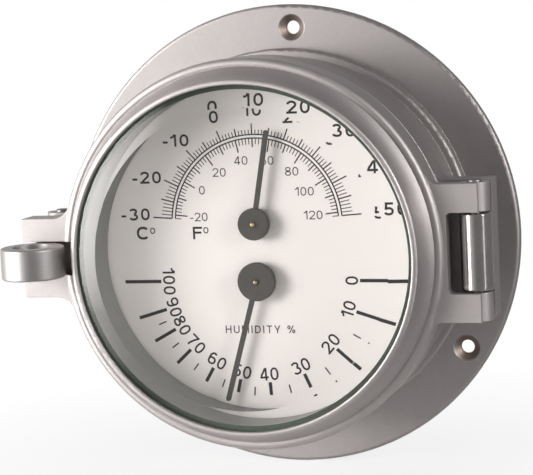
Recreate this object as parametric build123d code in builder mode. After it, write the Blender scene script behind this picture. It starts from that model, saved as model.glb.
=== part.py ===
from build123d import *
import math
import os

# Porthole-style thermometer and hygrometer: a round flanged case that screws to a wall, a
# hinged bezel that carries the bevelled glass, and two dial movements behind one dial plate.
# The dial faces -Y and 12 o'clock is +Z. The origin is the centre of the flange's back face.
# "Depth" below means the distance in front of that back face, so depth d lies at y = -d.
# Every dimension is in millimetres.

os.makedirs("parts", exist_ok=True)

# --- driving dimensions -----------------------------------------------------------------

# flange and its countersunk mounting holes
FLANGE_R = 75.0
FLANGE_T = 3.0
FLANGE_EDGE_R = 1.2
MOUNT_HOLE_R = 2.15
MOUNT_SINK_R = 4.3
MOUNT_PCD = 135.2
MOUNT_COUNT = 3
MOUNT_FIRST_ANGLE = 87

# drum
FOOT_R = 61.0
FOOT_FRONT = 8.0
FOOT_EDGE_R = 1.0
DRUM_R = 58.4
CASE_RING_R = 60.0
CASE_RING_BACK = 28.8
CASE_FRONT = 39.0
CASE_RING_BREAK = 0.35
CASE_BORE_R = 56.0
BACK_LIP_R = 54.0
BACK_LIP_FRONT = 4.2

# small screws: three for the dial and three for the back cover
SCREW_COUNT = 3

# dial seat inside the front of the case
DIAL_R = 52.0
DIAL_T = 0.8
DIAL_BACK = 37.8
DIAL_FRONT = DIAL_BACK + DIAL_T
DIAL_RECESS_R = 52.2
LEDGE_R = 49.8
LEDGE_BACK = 34.8
DIAL_SCREW_CIRCLE_R = 50.9
DIAL_SCREW_R = 0.55
DIAL_SCREW_HEAD_R = 0.95
DIAL_SCREW_HEAD_T = 0.4
DIAL_SCREW_LENGTH = 2.4
DIAL_SCREW_ANGLE = 90

# rubber seal in the front face of the case
SEAL_INNER_R = 54.5
SEAL_OUTER_R = 56.5
SEAL_GROOVE_DEPTH = 1.0
SEAL_SIDE_GAP = 0.1

# back cover
COVER_R = 57.9
COVER_SEAT_R = 58.0
COVER_T = 1.4
COVER_RECESS = 0.1
COVER_SCREW_CIRCLE_R = 56.0
COVER_SCREW_R = 1.0
COVER_SCREW_HEAD_R = 1.7
COVER_SCREW_LENGTH = 3.6
COVER_SCREW_SLOT_W = 0.5
COVER_SCREW_SLOT_DEPTH = 0.45
COVER_SCREW_ANGLE = 30
VENT_COUNT = 12
VENT_CIRCLE_R = 38.0
VENT_LENGTH = 14.0
VENT_WIDTH = 2.4
ADJUSTER_ACCESS_R = 3.5

# bezel ring
BEZEL_R = 60.0
BEZEL_BACK = 39.2
SHOULDER_FRONT = 50.0
CREASE_R = 57.5
CREASE_DEPTH = 51.2
SHOULDER_MID_R = 59.1
SHOULDER_MID_DEPTH = 51.2
LIP_FRONT = 60.0
LIP_OUTER_R = 53.9
LIP_INNER_R = 52.4
LIP_BACK = 59.0
BEZEL_BORE_R = 53.2
LIP_ROUND = 0.3
LIP_CROWN_DROP = 0.2
LIP_CROWN_INSET = 0.1
LIP_INNER_DROP = 0.15
COVE_MID_R = 55.3
COVE_MID_DEPTH = 54.4
EDGE_BREAK = 0.3

# glass and the rings that hold it
GLASS_R = 53.1
GLASS_FLAT_R = 45.9
GLASS_BEVEL_FOOT_R = 52.7
GLASS_FRONT = 60.5
GLASS_RIM_FRONT = 58.7
GLASS_BACK = 55.4
GLASS_EDGE_BREAK = 0.25
BACKING_RING_R = 50.6
REFLECTOR_R = 49.0
REFLECTOR_MOUTH_R = 51.0
REFLECTOR_OUTER_R = 53.15
REFLECTOR_FRONT = 55.0
REFLECTOR_BACK = 39.4
REFLECTOR_NOTCH_W = 3.0
REFLECTOR_NOTCH_LENGTH = 6.3
REFLECTOR_NOTCH_DEPTH = 1.2

# the hinge pad, the ears and the latch lug all start inside their ring at this radius
LUG_ROOT_R = 57.0

# hinge at 3 o'clock, with its axis vertical
HINGE_X = 68.8
HINGE_DEPTH = 44.0
KNUCKLE_R = 4.4
BARREL_R = 4.8
BARREL_EDGE_BREAK = 0.3
HINGE_PIN_R = 1.74
EAR_HALF = 20.6
EAR_END_X = 70.6
EAR_BACK = 44.5
WINDOW_HALF = 12.1
WINDOW_X = 61.0
WINDOW_W = 20.0
WINDOW_CORNER_R = 1.5
BARREL_HALF = 11.45
PIN_HEAD_R = 2.2
PIN_HEAD_T = 0.8
PIN_HEAD_ROUND = 0.6
HINGE_PAD_X = 72.8
HINGE_PAD_HALF = 20.8
HINGE_PAD_BACK = 29.2
HINGE_PAD_FRONT = 37.6
HINGE_WEB_LEFT = 65.0
HINGE_CORNER_R = 4.0

# latch at 9 o'clock, with its pivot vertical
LATCH_X = -66.6
LATCH_DEPTH = 33.6
LATCH_PIN_R = 1.99
CHEEK_R = 4.9
CHEEK_HALF = 12.9
CHEEK_GAP_HALF = 5.25
LUG_X = -74.1
LUG_HALF = 12.35
LUG_BACK = 40.5
LUG_CORNER_R = 6.0
LUG_SLOT_X = -57.0
LUG_SLOT_HALF = 5.2
LEVER_HALF = 4.85
LEVER_NECK_W = 7.0
EYE_X = -67.0
EYE_DEPTH = 59.0
EYE_R = 9.8
EYE_HOLE_R = 6.0
EYE_EDGE_R = 0.6
WASHER_T = 0.32
WASHER_R = 4.6

# running clearance of each pivot, and the small clearance between parts that touch
PIVOT_CLEARANCE = 0.05
FIT_GAP = 0.02

# how far a cut runs past the face it opens through, and how close counts as the same place
CUT_MARGIN = 2.0
SLOT_OVERRUN = 10.0
SAME = 0.01

# both movements: bush in the dial, bridge behind it, spindle, collet and coil
THERMOMETER_Z = 8.9
HYGROMETER_Z = -8.9
BUSH_R = 2.5
BUSH_FLANGE_R = 4.2
BUSH_FLANGE_T = 1.5
BUSH_PROUD = 0.5
SPINDLE_R = 0.6
SPINDLE_BACK = 16.4
SPINDLE_FRONT = 43.2
BRIDGE_BACK = 17.6
BRIDGE_T = 1.2
BRIDGE_W = 9.0
BRIDGE_FOOT = 7.0
STUD_R = 1.0
STUD_LENGTH = 4.2
NUT_ACROSS_FLATS = 4.0
NUT_T = 1.6
ADJUSTER_DISC_R = 4.0
ADJUSTER_T = 0.8
ADJUSTER_ARM_W = 2.2
ADJUSTER_SLOT_W = 0.8
ADJUSTER_SLOT_DEPTH = 0.7
COLLET_R = 2.2
COLLET_PROUD = 1.0
SPINDLE_END_BREAK = 0.15
COIL_BACK = 22.0
COIL_W = 4.0
COIL_STRIP_T = 0.35
THERMOMETER_STUD_X = 17.0
THERMOMETER_COIL_TURNS = 4
THERMOMETER_COIL_PITCH = 1.4
HYGROMETER_STUD_X = 22.0
HYGROMETER_COIL_TURNS = 3
HYGROMETER_COIL_PITCH = 2.1
POINTER_BACK = 40.4
POINTER_T = 0.7
POINTER_BOSS_T = 1.9
BOSS_EDGE_R = 0.35
POINTER_COLLAR_R = 0.95
POINTER_COLLAR_T = 0.35
POINTER_BLADE_W = 1.55
THERMOMETER_BOSS_R = 4.95
THERMOMETER_BLADE = 28.4
HYGROMETER_BOSS_R = 5.95
HYGROMETER_BLADE = 38.2

# what the pointers read at rest, as angles from 3 o'clock
DEGREES_PER_CELSIUS = 2.15
CELSIUS_AT_TOP = 10.0
CELSIUS_AT_REST = 15.0
THERMOMETER_ANGLE = 90 - (CELSIUS_AT_REST - CELSIUS_AT_TOP) * DEGREES_PER_CELSIUS
HYGROMETER_ANGLE = 253.3


def facing(depth):
    """Plane parallel to the dial at this depth: local x is +X, local y is +Z, forwards is out."""
    return Plane(origin=(0, -depth, 0), x_dir=(1, 0, 0), z_dir=(0, -1, 0))


def side_point(radius, depth):
    """A point of a turned profile, drawn at radius along +X and at this depth."""
    return (radius, -depth)


def turned(points):
    """Turn a closed profile of (radius, depth) corners about the dial's axis."""
    with BuildSketch(Plane.XY) as profile:
        with BuildLine():
            Polyline([side_point(r, d) for r, d in points], close=True)
        make_face()
    revolve(profile.sketch, axis=Axis.Y)


def lug_plate(back, front, lug_x, half_height, corner_r):
    """A flat lug out to lug_x, blended into a ring of the bezel's radius by concave corners."""
    with BuildSketch(facing(back)) as outline:
        Circle(BEZEL_R)
        with Locations((lug_x / 2, 0)):
            Rectangle(abs(lug_x), 2 * half_height)
        corners = outline.vertices().filter_by(
            lambda v: abs(v.X) < abs(lug_x) - SAME and v.X * lug_x > 0
        )
        fillet(corners, corner_r)
        Circle(LUG_ROOT_R, mode=Mode.SUBTRACT)
    extrude(outline.sketch, amount=front - back)


def pivot_rod(x, depth, radius, z_low, z_high, mode=Mode.ADD):
    """A vertical round rod about the pivot at (x, depth)."""
    with BuildSketch(Plane.XY.offset(z_low)) as section:
        with Locations((x, -depth)):
            Circle(radius)
    extrude(section.sketch, amount=z_high - z_low, mode=mode)


def save(builder, name):
    builder.part.label = name
    export_step(builder.part, f"parts/{name}.step")


# --- case -------------------------------------------------------------------------------

with BuildPart() as case_body:
    turned(
        [
            (COVER_SEAT_R, 0),
            (FLANGE_R, 0),
            (FLANGE_R, FLANGE_T),
            (FOOT_R, FLANGE_T),
            (FOOT_R, FOOT_FRONT),
            (DRUM_R, FOOT_FRONT),
            (DRUM_R, CASE_RING_BACK),
            (CASE_RING_R, CASE_RING_BACK),
            (CASE_RING_R, CASE_FRONT),
            (SEAL_OUTER_R, CASE_FRONT),
            (SEAL_OUTER_R, CASE_FRONT - SEAL_GROOVE_DEPTH),
            (SEAL_INNER_R, CASE_FRONT - SEAL_GROOVE_DEPTH),
            (SEAL_INNER_R, CASE_FRONT),
            (DIAL_RECESS_R, CASE_FRONT),
            (DIAL_RECESS_R, DIAL_BACK),
            (LEDGE_R, DIAL_BACK),
            (LEDGE_R, LEDGE_BACK),
            (CASE_BORE_R, LEDGE_BACK),
            (CASE_BORE_R, BACK_LIP_FRONT),
            (BACK_LIP_R, BACK_LIP_FRONT),
            (BACK_LIP_R, COVER_RECESS + COVER_T),
            (COVER_SEAT_R, COVER_RECESS + COVER_T),
        ]
    )
    rim = case_body.edges().filter_by(GeomType.CIRCLE).group_by(SortBy.RADIUS)[-1]
    fillet(rim.sort_by(Axis.Y)[0], FLANGE_EDGE_R)
    foot_rim = case_body.edges().filter_by(GeomType.CIRCLE).filter_by(
        lambda e: abs(e.radius - FOOT_R) < SAME and abs(e.center().Y + FOOT_FRONT) < SAME
    )
    fillet(foot_rim, FOOT_EDGE_R)
    ring_rims = case_body.edges().filter_by(GeomType.CIRCLE).filter_by(
        lambda e: abs(e.radius - CASE_RING_R) < SAME and -e.center().Y > CASE_RING_BACK - SAME
    )
    chamfer(ring_rims, CASE_RING_BREAK)
    # hinge pad, and the web that carries the hinge barrel
    lug_plate(HINGE_PAD_BACK, HINGE_PAD_FRONT, HINGE_PAD_X, HINGE_PAD_HALF, HINGE_CORNER_R)
    web_w = HINGE_PAD_X - HINGE_WEB_LEFT
    web_h = HINGE_DEPTH - HINGE_PAD_FRONT
    with BuildSketch(facing(HINGE_PAD_FRONT)):
        with Locations((HINGE_WEB_LEFT + web_w / 2, 0)):
            Rectangle(web_w, 2 * BARREL_HALF)
    extrude(amount=web_h)
    pivot_rod(
        HINGE_X, HINGE_DEPTH, BARREL_R + FIT_GAP, -WINDOW_HALF, WINDOW_HALF, Mode.SUBTRACT
    )
    # two cheeks that hold the latch pin, with their roots inside the drum wall
    for low in (-CHEEK_HALF, CHEEK_GAP_HALF):
        with BuildSketch(Plane.XY.offset(low)):
            with Locations((LATCH_X, -LATCH_DEPTH)):
                Circle(CHEEK_R)
            with Locations((LATCH_X + CHEEK_R, -LATCH_DEPTH)):
                Rectangle(2 * CHEEK_R, 2 * CHEEK_R)
        extrude(amount=CHEEK_HALF - CHEEK_GAP_HALF)
    pivot_rod(LATCH_X, LATCH_DEPTH, LATCH_PIN_R + FIT_GAP, -CHEEK_HALF, CHEEK_HALF, Mode.SUBTRACT)
    # countersunk mounting holes, and threaded holes for the cover and the dial
    with Locations(facing(FLANGE_T)):
        with PolarLocations(MOUNT_PCD / 2, MOUNT_COUNT, start_angle=MOUNT_FIRST_ANGLE):
            CounterSinkHole(
                MOUNT_HOLE_R, MOUNT_SINK_R, depth=FLANGE_T, counter_sink_angle=90
            )
    with Locations(facing(BACK_LIP_FRONT)):
        with PolarLocations(COVER_SCREW_CIRCLE_R, SCREW_COUNT, start_angle=COVER_SCREW_ANGLE):
            Hole(COVER_SCREW_R, depth=BACK_LIP_FRONT)
    with Locations(facing(DIAL_BACK)):
        with PolarLocations(DIAL_SCREW_CIRCLE_R, SCREW_COUNT, start_angle=DIAL_SCREW_ANGLE):
            Hole(DIAL_SCREW_R, depth=DIAL_BACK - LEDGE_BACK)
save(case_body, "case_body")

with BuildPart() as back_cover:
    with BuildSketch(facing(COVER_RECESS)):
        Circle(COVER_R)
        with PolarLocations(VENT_CIRCLE_R, VENT_COUNT):
            SlotOverall(VENT_LENGTH, VENT_WIDTH, rotation=90, mode=Mode.SUBTRACT)
        with Locations((0, THERMOMETER_Z), (0, HYGROMETER_Z)):
            Circle(ADJUSTER_ACCESS_R, mode=Mode.SUBTRACT)
    extrude(amount=COVER_T)
    with Locations(Plane(origin=(0, -COVER_RECESS, 0), x_dir=(1, 0, 0), z_dir=(0, 1, 0))):
        with PolarLocations(COVER_SCREW_CIRCLE_R, SCREW_COUNT, start_angle=-COVER_SCREW_ANGLE):
            CounterSinkHole(
                COVER_SCREW_R + FIT_GAP,
                COVER_SCREW_HEAD_R + FIT_GAP,
                depth=COVER_T,
                counter_sink_angle=90,
            )
save(back_cover, "back_cover")

with BuildPart() as back_cover_screws:
    with BuildSketch(facing(COVER_RECESS)):
        with PolarLocations(COVER_SCREW_CIRCLE_R, SCREW_COUNT, start_angle=COVER_SCREW_ANGLE):
            Circle(COVER_SCREW_HEAD_R)
    extrude(amount=COVER_SCREW_HEAD_R - COVER_SCREW_R, taper=45)
    with BuildSketch(facing(COVER_RECESS)):
        with PolarLocations(COVER_SCREW_CIRCLE_R, SCREW_COUNT, start_angle=COVER_SCREW_ANGLE):
            Circle(COVER_SCREW_R - FIT_GAP)
    extrude(amount=COVER_SCREW_LENGTH)
    with BuildSketch(facing(COVER_RECESS)):
        with PolarLocations(COVER_SCREW_CIRCLE_R, SCREW_COUNT, start_angle=COVER_SCREW_ANGLE):
            Rectangle(2 * COVER_SCREW_HEAD_R, COVER_SCREW_SLOT_W)
    extrude(amount=COVER_SCREW_SLOT_DEPTH, mode=Mode.SUBTRACT)
save(back_cover_screws, "back_cover_screws")

# --- hinge pieces on the case -----------------------------------------------------------

with BuildPart() as hinge_barrel:
    pivot_rod(HINGE_X, HINGE_DEPTH, BARREL_R, -BARREL_HALF, BARREL_HALF)
    pivot_rod(
        HINGE_X, HINGE_DEPTH, HINGE_PIN_R + FIT_GAP, -BARREL_HALF, BARREL_HALF, Mode.SUBTRACT
    )
    barrel_rims = hinge_barrel.edges().filter_by(GeomType.CIRCLE).group_by(SortBy.RADIUS)[-1]
    chamfer(barrel_rims, BARREL_EDGE_BREAK)
save(hinge_barrel, "hinge_barrel")


def headed_pin(pin, x, depth, radius, half, gap):
    """A vertical pin with a domed head at each end, the heads standing off by the gap."""
    reach = half + gap
    pivot_rod(x, depth, PIN_HEAD_R, reach, reach + PIN_HEAD_T)
    pivot_rod(x, depth, PIN_HEAD_R, -reach - PIN_HEAD_T, -reach)
    crowns = pin.edges().filter_by(GeomType.CIRCLE).sort_by(Axis.Z)
    fillet([crowns[0], crowns[-1]], PIN_HEAD_ROUND)
    pivot_rod(x, depth, radius, -reach, reach)


with BuildPart() as hinge_pin:
    headed_pin(hinge_pin, HINGE_X, HINGE_DEPTH, HINGE_PIN_R, EAR_HALF, PIVOT_CLEARANCE)
save(hinge_pin, "hinge_pin")

# --- bezel, glass and the rings that hold it ---------------------------------------------

with BuildPart() as bezel_ring:
    with BuildSketch(Plane.XY):
        with BuildLine():
            Polyline(
                side_point(BEZEL_BORE_R, LIP_BACK),
                side_point(BEZEL_BORE_R, BEZEL_BACK),
                side_point(BEZEL_R - EDGE_BREAK, BEZEL_BACK),
                side_point(BEZEL_R, BEZEL_BACK + EDGE_BREAK),
                side_point(BEZEL_R, SHOULDER_FRONT),
            )
            ThreePointArc(
                side_point(BEZEL_R, SHOULDER_FRONT),
                side_point(SHOULDER_MID_R, SHOULDER_MID_DEPTH),
                side_point(CREASE_R, CREASE_DEPTH),
            )
            ThreePointArc(
                side_point(CREASE_R, CREASE_DEPTH),
                side_point(COVE_MID_R, COVE_MID_DEPTH),
                side_point(LIP_OUTER_R + LIP_ROUND, LIP_FRONT - 2 * LIP_ROUND),
            )
            ThreePointArc(
                side_point(LIP_OUTER_R + LIP_ROUND, LIP_FRONT - 2 * LIP_ROUND),
                side_point(LIP_OUTER_R - LIP_CROWN_INSET, LIP_FRONT - LIP_CROWN_DROP),
                side_point(LIP_INNER_R + LIP_ROUND, LIP_FRONT),
            )
            ThreePointArc(
                side_point(LIP_INNER_R + LIP_ROUND, LIP_FRONT),
                side_point(LIP_INNER_R + LIP_CROWN_INSET, LIP_FRONT - LIP_INNER_DROP),
                side_point(LIP_INNER_R, LIP_FRONT - LIP_ROUND),
            )
            Polyline(
                side_point(LIP_INNER_R, LIP_FRONT - LIP_ROUND),
                side_point(LIP_INNER_R, LIP_BACK),
                side_point(BEZEL_BORE_R, LIP_BACK),
            )
        make_face()
    revolve(axis=Axis.Y)
    # hinge ears at the right and latch lug at the left
    lug_plate(EAR_BACK, SHOULDER_FRONT, EAR_END_X, EAR_HALF, HINGE_CORNER_R)
    lug_plate(LUG_BACK, SHOULDER_FRONT, LUG_X, LUG_HALF, LUG_CORNER_R)
    pivot_rod(HINGE_X, HINGE_DEPTH, KNUCKLE_R, -EAR_HALF, EAR_HALF)
    # window for the barrel between the ears
    through = SHOULDER_FRONT - BEZEL_BACK + 2 * CUT_MARGIN
    with BuildSketch(facing(BEZEL_BACK - CUT_MARGIN)):
        with Locations((WINDOW_X + WINDOW_W / 2, 0)):
            RectangleRounded(WINDOW_W, 2 * WINDOW_HALF, WINDOW_CORNER_R)
    extrude(amount=through, mode=Mode.SUBTRACT)
    pivot_rod(
        HINGE_X, HINGE_DEPTH, HINGE_PIN_R + PIVOT_CLEARANCE, -EAR_HALF, EAR_HALF, Mode.SUBTRACT
    )
    # slot that the latch lever stands in, open at the lug's end
    with BuildSketch(facing(BEZEL_BACK - CUT_MARGIN)):
        with Locations(((LUG_SLOT_X + LUG_X - SLOT_OVERRUN) / 2, 0)):
            Rectangle(LUG_SLOT_X - LUG_X + SLOT_OVERRUN, 2 * LUG_SLOT_HALF)
    extrude(amount=through, mode=Mode.SUBTRACT)
save(bezel_ring, "bezel_ring")

with BuildPart() as glass:
    turned(
        [
            (0, GLASS_BACK),
            (GLASS_R - GLASS_EDGE_BREAK, GLASS_BACK),
            (GLASS_R, GLASS_BACK + GLASS_EDGE_BREAK),
            (GLASS_R, GLASS_RIM_FRONT),
            (GLASS_BEVEL_FOOT_R, GLASS_RIM_FRONT),
            (GLASS_FLAT_R, GLASS_FRONT),
            (0, GLASS_FRONT),
        ]
    )
save(glass, "glass")

with BuildPart() as glass_gasket:
    turned(
        [
            (GLASS_BEVEL_FOOT_R, GLASS_RIM_FRONT),
            (GLASS_R, GLASS_RIM_FRONT),
            (GLASS_R, LIP_BACK),
            (GLASS_BEVEL_FOOT_R, LIP_BACK),
        ]
    )
save(glass_gasket, "glass_gasket")

with BuildPart() as glass_backing_ring:
    turned(
        [
            (BACKING_RING_R, REFLECTOR_FRONT),
            (GLASS_R, REFLECTOR_FRONT),
            (GLASS_R, GLASS_BACK),
            (BACKING_RING_R, GLASS_BACK),
        ]
    )
save(glass_backing_ring, "glass_backing_ring")

with BuildPart() as reflector_ring:
    turned(
        [
            (REFLECTOR_R, REFLECTOR_BACK),
            (REFLECTOR_OUTER_R, REFLECTOR_BACK),
            (REFLECTOR_OUTER_R, REFLECTOR_FRONT),
            (REFLECTOR_MOUTH_R, REFLECTOR_FRONT),
        ]
    )
    with BuildSketch(facing(REFLECTOR_BACK)):
        with PolarLocations(REFLECTOR_OUTER_R, 2):
            Rectangle(REFLECTOR_NOTCH_LENGTH, REFLECTOR_NOTCH_W)
    extrude(amount=REFLECTOR_NOTCH_DEPTH, mode=Mode.SUBTRACT)
save(reflector_ring, "reflector_ring")

with BuildPart() as bezel_seal:
    turned(
        [
            (SEAL_INNER_R + SEAL_SIDE_GAP, CASE_FRONT - SEAL_GROOVE_DEPTH),
            (SEAL_OUTER_R - SEAL_SIDE_GAP, CASE_FRONT - SEAL_GROOVE_DEPTH),
            (SEAL_OUTER_R - SEAL_SIDE_GAP, BEZEL_BACK),
            (SEAL_INNER_R + SEAL_SIDE_GAP, BEZEL_BACK),
        ]
    )
save(bezel_seal, "bezel_seal")

# --- latch ------------------------------------------------------------------------------

with BuildPart() as latch_lever:
    with BuildSketch(Plane.XY.offset(-LEVER_HALF)):
        with Locations((LATCH_X, -LATCH_DEPTH)):
            Circle(CHEEK_R)
        with Locations((EYE_X, -EYE_DEPTH)):
            Circle(EYE_R)
        with Locations((LATCH_X, -(LATCH_DEPTH + EYE_DEPTH) / 2)):
            Rectangle(LEVER_NECK_W, EYE_DEPTH - LATCH_DEPTH)
    extrude(amount=2 * LEVER_HALF)
    rims = latch_lever.edges().filter_by(GeomType.CIRCLE).group_by(SortBy.RADIUS)[-1]
    fillet(rims.filter_by(lambda e: abs(abs(e.center().Z) - LEVER_HALF) < SAME), EYE_EDGE_R)
    pivot_rod(EYE_X, EYE_DEPTH, EYE_HOLE_R, -LEVER_HALF, LEVER_HALF, Mode.SUBTRACT)
    pivot_rod(
        LATCH_X,
        LATCH_DEPTH,
        LATCH_PIN_R + PIVOT_CLEARANCE,
        -LEVER_HALF,
        LEVER_HALF,
        Mode.SUBTRACT,
    )
save(latch_lever, "latch_lever")

with BuildPart() as latch_pin:
    headed_pin(latch_pin, LATCH_X, LATCH_DEPTH, LATCH_PIN_R, CHEEK_HALF, 0)
save(latch_pin, "latch_pin")

with BuildPart() as latch_washers:
    for low in (-CHEEK_GAP_HALF, CHEEK_GAP_HALF - WASHER_T):
        with BuildSketch(Plane.XY.offset(low)):
            with Locations((LATCH_X, -LATCH_DEPTH)):
                Circle(WASHER_R)
                Circle(LATCH_PIN_R + FIT_GAP, mode=Mode.SUBTRACT)
        extrude(amount=WASHER_T)
save(latch_washers, "latch_washers")

# --- dial -------------------------------------------------------------------------------

STUD_PLACES = [
    (side * movement_x, z)
    for movement_x, z in (
        (THERMOMETER_STUD_X, THERMOMETER_Z),
        (HYGROMETER_STUD_X, HYGROMETER_Z),
    )
    for side in (-1, 1)
]

with BuildPart() as dial_plate:
    with BuildSketch(facing(DIAL_BACK)):
        Circle(DIAL_R)
        with Locations((0, THERMOMETER_Z), (0, HYGROMETER_Z)):
            Circle(BUSH_R + FIT_GAP, mode=Mode.SUBTRACT)
        with PolarLocations(DIAL_SCREW_CIRCLE_R, SCREW_COUNT, start_angle=DIAL_SCREW_ANGLE):
            Circle(DIAL_SCREW_R + FIT_GAP, mode=Mode.SUBTRACT)
    extrude(amount=DIAL_T)
save(dial_plate, "dial_plate")

with BuildPart() as dial_screws:
    with BuildSketch(facing(DIAL_FRONT)):
        with PolarLocations(DIAL_SCREW_CIRCLE_R, SCREW_COUNT, start_angle=DIAL_SCREW_ANGLE):
            Circle(DIAL_SCREW_HEAD_R)
    extrude(amount=DIAL_SCREW_HEAD_T)
    with BuildSketch(facing(DIAL_FRONT - DIAL_SCREW_LENGTH)):
        with PolarLocations(DIAL_SCREW_CIRCLE_R, SCREW_COUNT, start_angle=DIAL_SCREW_ANGLE):
            Circle(DIAL_SCREW_R - FIT_GAP)
    extrude(amount=DIAL_SCREW_LENGTH)
save(dial_screws, "dial_screws")

with BuildPart() as dial_studs:
    with BuildSketch(facing(DIAL_BACK - STUD_LENGTH)):
        with Locations(STUD_PLACES):
            Circle(STUD_R)
    extrude(amount=STUD_LENGTH)
save(dial_studs, "dial_studs")

with BuildPart() as bridge_nuts:
    with BuildSketch(facing(DIAL_BACK - BRIDGE_T - NUT_T)):
        with Locations(STUD_PLACES):
            RegularPolygon(NUT_ACROSS_FLATS / 2, 6, major_radius=False, rotation=30)
            Circle(STUD_R + FIT_GAP, mode=Mode.SUBTRACT)
    extrude(amount=NUT_T)
save(bridge_nuts, "bridge_nuts")


# --- the two movements ------------------------------------------------------------------


def coil_reach(turns, pitch):
    """Distance from the spindle to the middle of the strip at the coil's outer end."""
    return COLLET_R + FIT_GAP + COIL_STRIP_T / 2 + turns * pitch


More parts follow.
